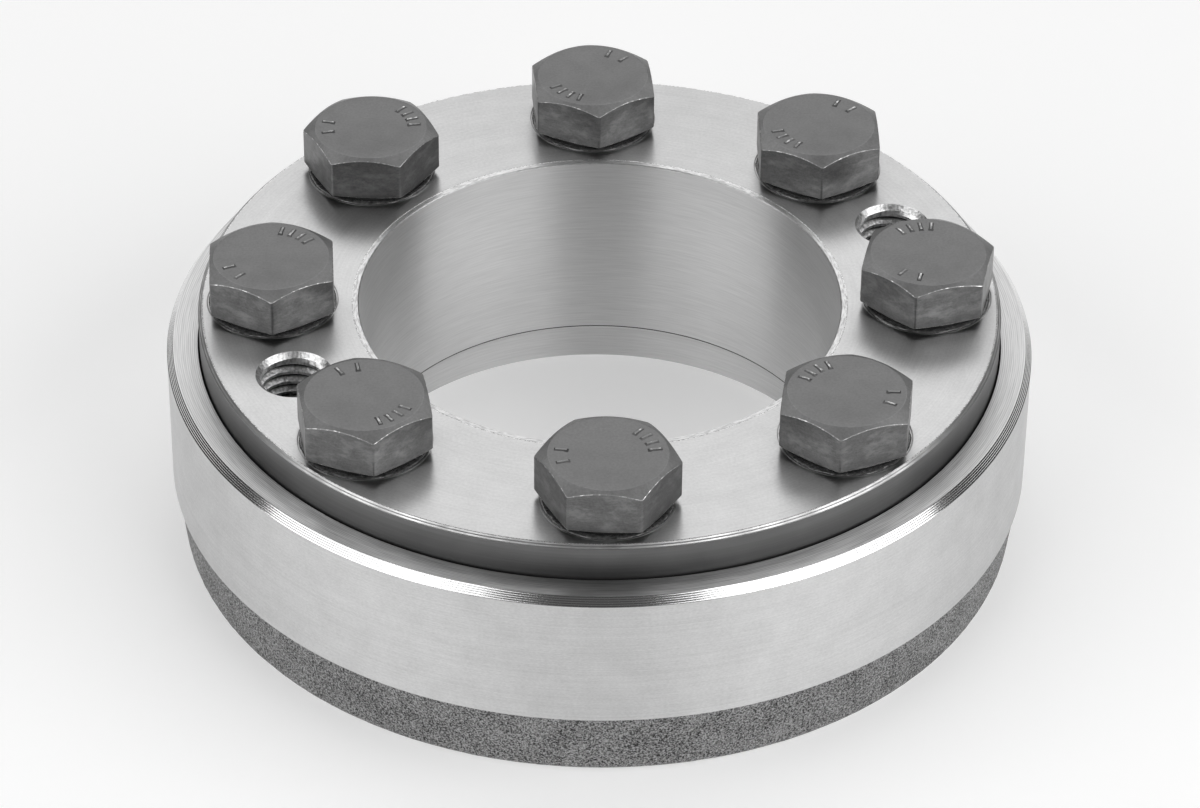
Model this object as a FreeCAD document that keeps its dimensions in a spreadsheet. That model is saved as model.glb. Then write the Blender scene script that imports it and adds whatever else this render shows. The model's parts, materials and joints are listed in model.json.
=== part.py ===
# Two-part shrink disc for a 50 mm hollow shaft, in the state it is delivered in.
# Frame: origin on the axis at the outer ring's back face, +Z towards the bolt heads,
# clamping bolt 1 on the +X side.

import FreeCAD, Part
import math
import os

import Sketcher

Vector = FreeCAD.Vector

doc = FreeCAD.newDocument("shrink_disc")
sheet = doc.addObject("Spreadsheet::Sheet", "sizes")

# Driving dimensions, in millimetres and degrees
DRIVING = (
    ("bore_dia", 50.0, "hollow shaft that is clamped"),
    ("bore_step", 1.7, "back end of the conical bore, outside the shaft, on the radius"),
    ("bolt_wall", 3.2, "back end of the conical bore to the tapped holes"),
    ("thread_dia", 8.0, "bolts, tapped holes and jacking threads"),
    ("flange_rim", 7.7, "bolt axis to the flange's edge"),
    ("flange_clearance", 0.15, "radial room round the flange in the recess"),
    ("lip_width", 3.25, "recess wall to the machined band"),
    ("outer_height", 23.0, "outer ring, back face to lip"),
    ("lip_chamfer_width", 0.7, "outer edge of the lip, across"),
    ("lip_chamfer_height", 0.85, "outer edge of the lip, down"),
    ("raw_height", 7.75, "forged skin left below the machined band"),
    ("band_step", 0.3, "forged skin lies this far inside the band"),
    ("raw_draft", 6.5, "draft of the forged skin"),
    ("raw_corner_radius", 1.5, "back edge of the forged skin"),
    ("back_chamfer", 0.3, "conical bore, back edge"),
    ("mouth_chamfer", 1.2, "conical bore, edge at the recess floor"),
    ("recess_corner_radius", 0.4, "recess wall to floor"),
    ("wedge_angle", 3.0, "conical fit, half angle"),
    ("wedge_clearance", 0.03, "radial room left in the cone when drawn in"),
    ("draw_travel", 4.0, "flange stands this far proud of the lip"),
    ("flange_thickness", 10.0, "inner ring's flange"),
    ("flange_chamfer", 0.4, "flange, front edge"),
    ("flange_back_chamfer", 0.6, "flange, back edge"),
    ("floor_clearance", 0.1, "room under the flange when drawn in"),
    ("bore_chamfer", 0.25, "bore, front edge"),
    ("sleeve_inset", 0.8, "sleeve end above the back face when drawn in"),
    ("sleeve_end_chamfer", 0.55, "sleeve end, inner edge"),
    ("sleeve_tip_chamfer", 0.3, "sleeve end, outer edge"),
    ("sleeve_root_radius", 0.6, "sleeve to flange"),
    ("bolt_count", 8, "clamping bolts"),
    ("thread_clearance", 0.05, "radial room between screw and tapped hole"),
    ("thread_countersink", 0.1, "lead-in of every tapped hole"),
    ("bolt_hole_room", 0.5, "clearance holes, radial room round the thread"),
    ("bolt_hole_chamfer", 0.4, "clearance holes, back edge"),
    ("tip_inset", 3.0, "bolt tip above the back face when drawn in"),
    ("tip_chamfer", 0.9, "screw tip"),
    ("neck_radius", 0.35, "screw to bearing face"),
    ("head_height", 5.65, "bearing face to top"),
    ("head_across_flats", 12.7, "wrench size, less its tolerance"),
    ("head_corner_radius", 0.4, "upright edges of the hexagon"),
    ("head_top_inset", 0.42, "flats to the round edge of the flat top"),
    ("head_foot_inset", 0.05, "flats to the round edge of the hexagon's underside"),
    ("head_chamfer_angle", 30.0, "chamfers over and under the hexagon's corners"),
    ("bearing_face_inset", 0.45, "flats to the round face under the hexagon"),
    ("bearing_face_height", 0.65, "round face under the hexagon"),
    ("jacking_count", 2, "jacking threads, the first halfway from bolt 1 to bolt 2"),
)

# How far each head happens to be turned, bolt 1 first
HEAD_TURNS = (15.9, 30.2, 34.2, 55.6, 31.8, 38.0, 55.4, 21.9)

HEAD_SIDES = 6

# A cutting profile runs this far past the material
CUTTER_ROOM = 1.0

# Two lengths closer than this are the same, in millimetres
SAME_LENGTH = 1e-6

# An edge is upright if its direction rises at least this much per unit of length
UPRIGHT_RISE = 0.999


class Size:
    """A size that is known both as a number and as the expression that gives it."""

    def __init__(self, number, text):
        self.number = number
        self.text = text

    def __add__(self, other):
        other = as_size(other)
        return Size(self.number + other.number, f"({self.text} + {other.text})")

    def __sub__(self, other):
        other = as_size(other)
        return Size(self.number - other.number, f"({self.text} - {other.text})")

    def __mul__(self, other):
        other = as_size(other)
        return Size(self.number * other.number, f"({self.text} * {other.text})")

    def __truediv__(self, other):
        other = as_size(other)
        return Size(self.number / other.number, f"({self.text} / {other.text})")


def as_size(value):
    return value if isinstance(value, Size) else Size(float(value), repr(float(value)))


def tan(angle):
    return Size(math.tan(math.radians(angle.number)), f"tan({angle.text} * 1 deg)")


def cos(angle):
    return Size(math.cos(math.radians(angle.number)), f"cos({angle.text} * 1 deg)")


def sin(angle):
    return Size(math.sin(math.radians(angle.number)), f"sin({angle.text} * 1 deg)")


def fill_sheet():
    """Writes every driving dimension to the sheet and returns them by name."""
    named = {}
    turns = [(f"head_turn_{i}", turn, "head of this bolt") for i, turn in enumerate(HEAD_TURNS, 1)]
    for row, (name, number, note) in enumerate(list(DRIVING) + turns, 1):
        sheet.set(f"A{row}", name)
        sheet.set(f"B{row}", str(number))
        sheet.set(f"C{row}", note)
        sheet.setAlias(f"B{row}", name)
        named[name] = Size(float(number), f"sizes.{name}")
    doc.recompute()
    return named


s = fill_sheet()
ZERO = as_size(0.0)
FULL_TURN = as_size(360.0)

# Radii, worked out from the shaft outwards
bore_radius = s["bore_dia"] / 2
back_bore_radius = bore_radius + s["bore_step"]
thread_radius = s["thread_dia"] / 2
bolt_circle_radius = back_bore_radius + s["bolt_wall"] + thread_radius
flange_radius = bolt_circle_radius + s["flange_rim"]
recess_radius = flange_radius + s["flange_clearance"]
outer_radius = recess_radius + s["lip_width"]
raw_top_radius = outer_radius - s["band_step"]
raw_foot_radius = raw_top_radius - s["raw_height"] * tan(s["raw_draft"])

# Heights above the back face, as delivered, before the bolts draw the flange in
recess_floor = s["outer_height"] - s["flange_thickness"] - s["floor_clearance"]
flange_top = s["outer_height"] + s["draw_travel"]
flange_back = flange_top - s["flange_thickness"]
sleeve_end = s["draw_travel"] + s["sleeve_inset"]
bolt_tip = s["draw_travel"] + s["tip_inset"]

# Bolts, their holes and the places between them
bolt_length = flange_top - bolt_tip
screw_radius = thread_radius - s["thread_clearance"]
bolt_hole_radius = thread_radius + s["bolt_hole_room"]
half_across_flats = s["head_across_flats"] / 2
head_corner_distance = half_across_flats / cos(FULL_TURN / (2 * HEAD_SIDES))
bolt_step = FULL_TURN / s["bolt_count"]
jacking_angle = bolt_step / 2


def cone_radius(height):
    """Radius of the outer ring's conical bore at a height above its back face."""
    return back_bore_radius + height * tan(s["wedge_angle"])


def sleeve_radius(height):
    """Radius of the conical sleeve, which just clears the bore once it is drawn in."""
    return cone_radius(height - s["draw_travel"]) - s["wedge_clearance"]


def new_body(name):
    body = doc.addObject("PartDesign::Body", name)
    body.Label = name
    return body


def origin_feature(body, role):
    return next(item for item in body.Origin.OriginFeatures if item.Role == role)


def new_sketch(body, name, role):
    sketch = body.newObject("Sketcher::SketchObject", name)
    sketch.AttachmentSupport = [(origin_feature(body, role), "")]
    sketch.MapMode = "FlatFace"
    return sketch


def place_corner(sketch, line, corner):
    """Holds the start point of a line at its distances from the sketch's origin."""
    for kind, axis, size in (("DistanceX", -2, corner[0]), ("DistanceY", -1, corner[1])):
        if size is ZERO:
            sketch.addConstraint(Sketcher.Constraint("PointOnObject", line, 1, axis))
            continue
        limit = Sketcher.Constraint(kind, -1, 1, line, 1, size.number)
        index = sketch.addConstraint(limit)
        sketch.setExpression(f"Constraints[{index}]", size.text)


def draw_section(body, name, corners, axis_at=None):
    """Draws a closed outline of straight runs through the corners, radius first.

    axis_at is the radius of an upright axis line, for a hole that is off the centre.
    """
    sketch = new_sketch(body, name, "XZ_Plane")
    points = [Vector(radius.number, height.number, 0) for radius, height in corners]
    count = len(points)
    for i in range(count):
        sketch.addGeometry(Part.LineSegment(points[i], points[(i + 1) % count]), False)
    for i in range(count):
        sketch.addConstraint(Sketcher.Constraint("Coincident", i, 2, (i + 1) % count, 1))
        place_corner(sketch, i, corners[i])
    if axis_at is not None:
        foot, tip = points[0], points[-1]
        sketch.addGeometry(Part.LineSegment(foot, tip), True)
        sketch.addConstraint(Sketcher.Constraint("Coincident", count, 1, 0, 1))
        sketch.addConstraint(Sketcher.Constraint("Coincident", count, 2, count - 1, 1))
    return sketch


def turn_section(body, kind, name, sketch, axis="V_Axis"):
    """Revolves a section: kind is Revolution to add material, Groove to remove it."""
    feature = body.newObject(f"PartDesign::{kind}", name)
    feature.Profile = (sketch, [""])
    feature.ReferenceAxis = (sketch, [axis])
    feature.Angle = 360.0
    sketch.Visibility = False
    return feature


def round_edges(body, name, base, edges, radius):
    """Rounds the named edges of a feature."""
    fillet = body.newObject("PartDesign::Fillet", name)
    fillet.Base = (base, edges)
    fillet.setExpression("Radius", radius.text)
    return fillet


def edges_on_circle(feature, radius, height):
    """Names the circular edges of one radius round the body's axis at one height."""
    found = []
    for index, edge in enumerate(feature.Shape.Edges, 1):
        curve = edge.Curve
        if not isinstance(curve, Part.Circle):
            continue
        on_axis = math.hypot(curve.Center.x, curve.Center.y) < SAME_LENGTH
        same_size = abs(curve.Radius - radius.number) < SAME_LENGTH
        same_height = abs(curve.Center.z - height.number) < SAME_LENGTH
        if on_axis and same_size and same_height:
            found.append(f"Edge{index}")
    return found


def upright_edges(feature):
    """Names the straight edges of a feature that run along its axis."""
    found = []
    for index, edge in enumerate(feature.Shape.Edges, 1):
        ends = [vertex.Point for vertex in edge.Vertexes]
        if len(ends) == 2 and abs((ends[1] - ends[0]).normalize().z) > UPRIGHT_RISE:
            found.append(f"Edge{index}")
    return found


def cut_round_hole(body, name, radius, low, high, low_chamfer, high_chamfer):
    """Cuts an upright hole on the bolt circle, over the +X axis, with its chamfers."""
    wall = bolt_circle_radius + radius
    corners = [(bolt_circle_radius, low)]
    if low_chamfer:
        corners += [(wall + low_chamfer, low), (wall, low + low_chamfer)]
    else:
        corners += [(wall, low)]
    if high_chamfer:
        corners += [(wall, high - high_chamfer), (wall + high_chamfer, high)]
    else:
        corners += [(wall, high)]
    corners += [(bolt_circle_radius, high)]
    sketch = draw_section(body, f"{name}_section", corners, axis_at=bolt_circle_radius)
    return turn_section(body, "Groove", name, sketch, axis="Axis0"), sketch


def repeat_round_axis(body, name, feature, count):
    pattern = body.newObject("PartDesign::PolarPattern", name)
    pattern.Originals = [feature]
    pattern.Axis = (origin_feature(body, "Z_Axis"), [""])
    pattern.Angle = 360.0
    pattern.setExpression("Occurrences", count.text)
    body.Tip = pattern
    return pattern


def build_outer_ring():
    """Forged ring: machined band, recess for the flange, conical bore, tapped holes."""
    body = new_body("outer_ring")
    back = s["back_chamfer"]
    mouth = recess_floor - s["mouth_chamfer"]
    top = s["outer_height"]
    corners = [
        (cone_radius(back) + back, ZERO),
        (raw_foot_radius, ZERO),
        (raw_top_radius, s["raw_height"]),
        (outer_radius, s["raw_height"]),
        (outer_radius, top - s["lip_chamfer_height"]),
        (outer_radius - s["lip_chamfer_width"], top),
        (recess_radius, top),
        (recess_radius, recess_floor),
        (cone_radius(mouth) + s["mouth_chamfer"], recess_floor),
        (cone_radius(mouth), mouth),
        (cone_radius(back), back),
    ]
    section = draw_section(body, "ring_section", corners)
    blank = turn_section(body, "Revolution", "turned_ring", section)
    doc.recompute()
    foot = edges_on_circle(blank, raw_foot_radius, ZERO)
    forged = round_edges(body, "forged_edge", blank, foot, s["raw_corner_radius"])
    doc.recompute()
    corner = edges_on_circle(forged, recess_radius, recess_floor)
    round_edges(body, "recess_corner", forged, corner, s["recess_corner_radius"])
    lead_in = s["thread_countersink"]
    tapped, _ = cut_round_hole(body, "tapped_hole", thread_radius, ZERO, recess_floor,
                               lead_in, lead_in)
    repeat_round_axis(body, "tapped_holes", tapped, s["bolt_count"])
    return body


def build_inner_ring():
    """Flange that carries the bolts, and the conical sleeve that closes on the shaft."""
    body = new_body("inner_ring")
    end = s["sleeve_end_chamfer"]
    tip = s["sleeve_tip_chamfer"]
    back = s["flange_back_chamfer"]
    corners = [
        (bore_radius, sleeve_end + end),
        (bore_radius + end, sleeve_end),
        (sleeve_radius(sleeve_end + tip) - tip, sleeve_end),
        (sleeve_radius(sleeve_end + tip), sleeve_end + tip),
        (sleeve_radius(flange_back), flange_back),
        (flange_radius - back, flange_back),
        (flange_radius, flange_back + back),
        (flange_radius, flange_top - s["flange_chamfer"]),
        (flange_radius - s["flange_chamfer"], flange_top),
        (bore_radius + s["bore_chamfer"], flange_top),
        (bore_radius, flange_top - s["bore_chamfer"]),
    ]
    section = draw_section(body, "flange_section", corners)
    blank = turn_section(body, "Revolution", "turned_flange", section)
    doc.recompute()
    root = edges_on_circle(blank, sleeve_radius(flange_back), flange_back)
    round_edges(body, "sleeve_root", blank, root, s["sleeve_root_radius"])
    hole, _ = cut_round_hole(body, "bolt_hole", bolt_hole_radius, flange_back,
                             flange_top, s["bolt_hole_chamfer"], None)
    repeat_round_axis(body, "bolt_holes", hole, s["bolt_count"])
    lead_in = s["thread_countersink"]
    jacking, sketch = cut_round_hole(body, "jacking_thread", thread_radius, flange_back,
                                     flange_top, lead_in, lead_in)
    sketch.AttachmentOffset = FreeCAD.Placement(
        Vector(0, 0, 0), FreeCAD.Rotation(Vector(0, 1, 0), jacking_angle.number))
    sketch.setExpression("AttachmentOffset.Rotation.Angle", jacking_angle.text)
    repeat_round_axis(body, "jacking_threads", jacking, s["jacking_count"])
    return body


def draw_hexagon(body, height):
    """Draws the head's hexagon, with one corner on the +X axis."""
    sketch = new_sketch(body, "hexagon", "XY_Plane")
    sketch.setExpression("AttachmentOffset.Base.z", height.text)
    radius = head_corner_distance.number
    turns = [2 * math.pi * side / HEAD_SIDES for side in range(HEAD_SIDES)]
    points = [Vector(radius * math.cos(turn), radius * math.sin(turn), 0) for turn in turns]
    for i in range(HEAD_SIDES):
        sketch.addGeometry(Part.LineSegment(points[i], points[(i + 1) % HEAD_SIDES]), False)
    circle = sketch.addGeometry(Part.Circle(Vector(0, 0, 0), Vector(0, 0, 1), radius), True)
    for i in range(HEAD_SIDES):
        sketch.addConstraint(Sketcher.Constraint("Coincident", i, 2, (i + 1) % HEAD_SIDES, 1))
    for i in range(HEAD_SIDES):
        sketch.addConstraint(Sketcher.Constraint("PointOnObject", i, 1, circle))
    for i in range(1, HEAD_SIDES):
        sketch.addConstraint(Sketcher.Constraint("Equal", 0, i))
    sketch.addConstraint(Sketcher.Constraint("Coincident", circle, 3, -1, 1))
    sketch.addConstraint(Sketcher.Constraint("PointOnObject", 0, 1, -1))
    index = sketch.addConstraint(Sketcher.Constraint("Radius", circle, radius))
    sketch.setExpression(f"Constraints[{index}]", head_corner_distance.text)
    return sketch


def build_bolt(number):
    """Hexagon head screw, upright on its tip, set on the bolt circle by its Placement."""
    body = new_body(f"clamping_bolt_{number}")
    bearing = bolt_length
    under_hexagon = bearing + s["bearing_face_height"]
    top = bearing + s["head_height"]

    hexagon = draw_hexagon(body, under_hexagon)
    head = body.newObject("PartDesign::Pad", "head")
    head.Profile = (hexagon, [""])
    head.setExpression("Length", (s["head_height"] - s["bearing_face_height"]).text)
    hexagon.Visibility = False
    doc.recompute()
    round_edges(body, "head_corners", head, upright_edges(head), s["head_corner_radius"])

    flat = half_across_flats - s["head_top_inset"]
    reach = head_corner_distance + CUTTER_ROOM
    drop = (reach - flat) * tan(s["head_chamfer_angle"])
    cutter = draw_section(body, "head_chamfer_section",
                          [(flat, top), (reach, top - drop), (reach, top)])
    turn_section(body, "Groove", "head_chamfer", cutter)

    foot = half_across_flats - s["head_foot_inset"]
    rise = (reach - foot) * tan(s["head_chamfer_angle"])
    cutter = draw_section(body, "head_foot_section",
                          [(foot, under_hexagon), (reach, under_hexagon),
                           (reach, under_hexagon + rise)])
    turn_section(body, "Groove", "head_foot", cutter)

    face = half_across_flats - s["bearing_face_inset"]
    shank = draw_section(body, "screw_section", [
        (ZERO, ZERO),
        (screw_radius - s["tip_chamfer"], ZERO),
        (screw_radius, s["tip_chamfer"]),
        (screw_radius, bearing),
        (face, bearing),
        (face, under_hexagon),
        (ZERO, under_hexagon),
    ])
    screw = turn_section(body, "Revolution", "screw", shank)
    doc.recompute()
    neck = edges_on_circle(screw, screw_radius, bearing)
    body.Tip = round_edges(body, "neck", screw, neck, s["neck_radius"])

    angle = bolt_step * (number - 1)
    turn = s[f"head_turn_{(number - 1) % len(HEAD_TURNS) + 1}"]
    body.Placement = FreeCAD.Placement(
        Vector(0, 0, 0), FreeCAD.Rotation(Vector(0, 0, 1), turn.number))
    body.setExpression("Placement.Rotation.Angle", turn.text)
    body.setExpression("Placement.Base.x", (bolt_circle_radius * cos(angle)).text)
    body.setExpression("Placement.Base.y", (bolt_circle_radius * sin(angle)).text)
    body.setExpression("Placement.Base.z", bolt_tip.text)
    return body


def check_model(bodies):
    """Stops if any object failed to build or a sub-part has no sound solid."""
    for item in doc.Objects:
        if "Invalid" in item.State or "Error" in item.State:
            raise RuntimeError(f"{item.Name} failed: {item.State}")
    for body in bodies:
        shape = body.Shape
        if shape.isNull() or not shape.isValid() or len(shape.Solids) != 1:
            raise RuntimeError(f"{body.Label} is not one sound solid")


bodies = [build_outer_ring(), build_inner_ring()]
bodies += [build_bolt(number) for number in range(1, int(s["bolt_count"].number) + 1)]
doc.recompute()
check_model(bodies)

os.makedirs("parts", exist_ok=True)
for body in bodies:
    body.Shape.exportStep(f"parts/{body.Label}.step")
    print(body.Label, round(body.Shape.Volume, 1), "mm3")
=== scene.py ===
import json
import math

import bmesh
import bpy
from mathutils import Matrix, Vector, noise


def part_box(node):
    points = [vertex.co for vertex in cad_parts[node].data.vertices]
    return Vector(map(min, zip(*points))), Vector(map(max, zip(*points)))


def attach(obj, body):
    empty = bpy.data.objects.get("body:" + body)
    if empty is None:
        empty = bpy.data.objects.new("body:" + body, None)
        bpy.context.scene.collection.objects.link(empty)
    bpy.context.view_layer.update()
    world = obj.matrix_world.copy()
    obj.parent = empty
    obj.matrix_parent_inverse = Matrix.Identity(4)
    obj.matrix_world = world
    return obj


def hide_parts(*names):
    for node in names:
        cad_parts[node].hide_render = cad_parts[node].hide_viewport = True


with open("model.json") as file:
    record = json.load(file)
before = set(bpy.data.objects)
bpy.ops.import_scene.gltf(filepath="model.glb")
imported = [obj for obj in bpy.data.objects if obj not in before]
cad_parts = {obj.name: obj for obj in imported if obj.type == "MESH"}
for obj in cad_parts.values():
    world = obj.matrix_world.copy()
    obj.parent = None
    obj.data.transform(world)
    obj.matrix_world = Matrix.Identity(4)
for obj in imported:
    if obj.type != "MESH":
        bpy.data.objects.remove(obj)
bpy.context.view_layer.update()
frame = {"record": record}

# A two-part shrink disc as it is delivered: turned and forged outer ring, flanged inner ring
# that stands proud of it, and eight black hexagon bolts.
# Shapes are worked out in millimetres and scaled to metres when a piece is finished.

MM = 0.001
record = frame["record"]
mounts = {mount["name"]: mount for mount in record["mounts"]}
joints = {joint["name"]: joint for joint in record["behaviour"]["joints"]}


def in_mm(point):
    return Vector(point) / MM


# Sizes that the frame gives
bolt_names = [f"bolt_{number}" for number in range(1, len(joints))]
bolt_places = [in_mm(joints[f"{name}_turn"]["pos_m"]) for name in bolt_names]
jacking_places = [in_mm(mounts[f"jacking_thread_{number}"]["pos_m"]) for number in (1, 2)]
BORE_RADIUS = mounts["bore"]["dims"]["r_mm"]
THREAD_RADIUS = mounts["jacking_thread_1"]["dims"]["r_mm"]
RING_RADIUS, RING_HEIGHT = in_mm(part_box("outer_ring")[1]).xz
FLANGE_RADIUS, FLANGE_TOP = in_mm(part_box("inner_ring")[1]).xz
SLEEVE_END = in_mm(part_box("inner_ring")[0]).z
BOLT_TIP = in_mm(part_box("clamping_bolt_1")[0]).z
HEAD_TOP = in_mm(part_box("clamping_bolt_1")[1]).z

# Outer ring. Scallops that a tool left on a chamfer are given by their number and depth.
LIP_CHAMFER = (0.7, 0.85)
LIP_SCALLOPS = (5, 0.016)
RAW_HEIGHT = 7.75
BAND_STEP = 0.3
RAW_DRAFT = math.radians(6.5)
RAW_CORNER = 1.5
RAW_ROWS = 14
RAW_RELIEF = 0.035
RAW_LUMP = 1.1
RAW_MARGIN = 0.05
FLANGE_CLEARANCE = 0.15
RECESS_FLOOR = 12.9
RECESS_CORNER = 0.4
CONE_BACK_RADIUS = 26.7
CONE_ANGLE = math.radians(3.0)
CONE_BACK_CHAMFER = 0.3
CONE_MOUTH_CHAMFER = 1.2

# Roundings of turned edges
CRISP_EDGE = 0.05
SOFT_EDGE = 0.08
BLUNT_EDGE = 0.1

# Feed of the tool that faced the lip
FEED = 0.2

# Inner ring
FLANGE_THICKNESS = 10.0
FLANGE_CHAMFER = 0.4
FLANGE_SCALLOPS = (2, 0.025)
FLANGE_BACK_CHAMFER = 0.6
BURR_WIDTH = 0.1
BURR_HEIGHT = 0.012
BURR_RAGGEDNESS = 0.008
BURR_LUMP = 0.45
BORE_CHAMFER = 0.12
BORE_EDGE = 0.03
MOUTH_RING_WIDTH = 0.5
MOUTH_RING_DEPTH = 0.02
MOUTH_SCALLOPS = (3, 0.005)
SLEEVE_END_CHAMFER = 0.55
# Height of a dark strip at the foot of the bore: painted shade for the gap at the sleeve's end
SLEEVE_SHADE_LINE = 0.13
SLEEVE_TIP_CHAMFER = 0.3
SLEEVE_ROOT = 0.6
DRAW_TRAVEL = 4.0
CONE_CLEARANCE = 0.03
BOLT_HOLE_RADIUS = 4.5
BOLT_HOLE_CHAMFER = 0.4

# Threads
PITCH = 1.25
THREAD_DEPTH = 0.6
THREAD_CLEARANCE = 0.05
MOUTH_RADIUS = 3.95
MOUTH_CHAMFER = 0.45
THREAD_SEGMENTS = 48

# Bolts
HEAD_SIDES = 6
HEAD_ACROSS_FLATS = 12.7
HEAD_CORNER = 0.4
HEAD_CORNER_STEPS = 4
HEAD_TOP_RADIUS = 5.93
HEAD_FOOT_RADIUS = 6.3
HEAD_CHAMFER = math.radians(30.0)
HEAD_FOOT_CHAMFER = math.radians(10.0)
# Dish in a head's top: the radius of its floor, the run of its side and its depth
HEAD_DISH = (4.15, 0.25, 0.035)
BEARING_FACE_RADIUS = 5.9
BEARING_FACE_HEIGHT = 0.65
HEAD_TOP_ROUNDING = 0.15
HEAD_WEAR = 0.06
WORN_ABOVE = math.radians(22.0)
# How far each head happens to be turned, bolt 1 first
HEAD_TURNS = (15.9, 30.2, 34.2, 55.6, 31.8, 38.0, 55.4, 21.9)
TIP_RADIUS = 3.0
# Raised marks: how far the forge's two groups happen to lie round each head, bolt 1 first,
# and in each group the angles of its ridges from the group's middle
MARK_PLACES = ((103, 243), (217, 50), (230, 55), (26, 180), (57, 216), (310, 111), (28, 184),
               (131, 345))
MARK_GROUPS = ((-21, -7, 7, 21), (-12, 12))
MARK_SPAN = (3.95, 5.35)
MARK_WIDTH = 0.46
MARK_TOP_WIDTH = 0.2
MARK_HEIGHT = 0.1

# Thin rims that the heads pressed up round their seats, higher in some stretches
SEAT_RADIUS = 6.77
SEAT_RIM_WIDTH = 0.14
SEAT_RIM_HEIGHT = 0.03
SEAT_RIM_STRETCH = 3
SEAT_RIM_WORN = 0.2

# Oil pressed out from under the heads
OIL_WIDTH = 0.7
OIL_HEIGHT = 0.16
OIL_GAP = 0.02
OIL_SINK = 0.02

# Meshes
OUTER_SEGMENTS = 720
INNER_SEGMENTS = 1080
SCALLOP_STEPS = 4
HOLE_SEGMENTS = 96
OIL_SEGMENTS = (120, 14)
# Turn of a round shape against what it cuts, as a share of a segment
OFF_EDGE = 0.37
# How far a cutter runs past what it cuts
CUTTER_ROOM = 0.5
MERGE_BELOW = 0.00001
MERGE_IN_TREE = 0.0001
MERGE_IN_HEAD = 0.002
# Bends up to these are shaded smoothly, within one finish and between two
SMOOTH_BELOW = math.radians(12.0)
SLIGHT_BEND = math.radians(1.0)
# Steps of an arc, on small and on large roundings
SHARP_STEP = math.radians(35.0)
FINE_STEP = math.radians(7.5)
LARGE_ROUNDING = 0.5

# Where nearly all values of a noise lie
NOISE_RANGE = (0.3, 0.7)

# Camera, found from the rims of the rings in the photograph, which is 1200 pixels wide
PHOTO_WIDTH = 1200
FOCAL_PIXELS = 4941
SENSOR = 36.0
CAMERA_TURN = math.radians(-1.69)
CAMERA_ELEVATION = math.radians(36.72)
CAMERA_ROLL = math.radians(0.597)
CAMERA_PLACE = (0.135, -417.6, 324.76)
CAMERA_SEES = (0.01, 10)

# Studio, in metres and watts: azimuth and elevation of each soft lamp in degrees, its distance,
# width, height and power. Azimuth 0 is the camera's side, and 90 its right.
LAMPS = {
    "left_box": (-58, 34, 0.9, 1.0, 0.6, 4.1),
    "right_box": (56, 34, 0.9, 1.05, 0.6, 5.5),
    "back_box": (180, 52, 1.0, 1.6, 1.0, 5.2),
}
SKY_STRENGTH = 0.09
FLOOR_REACH = 3.0
FLOOR_DROP = 0.00002


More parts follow.
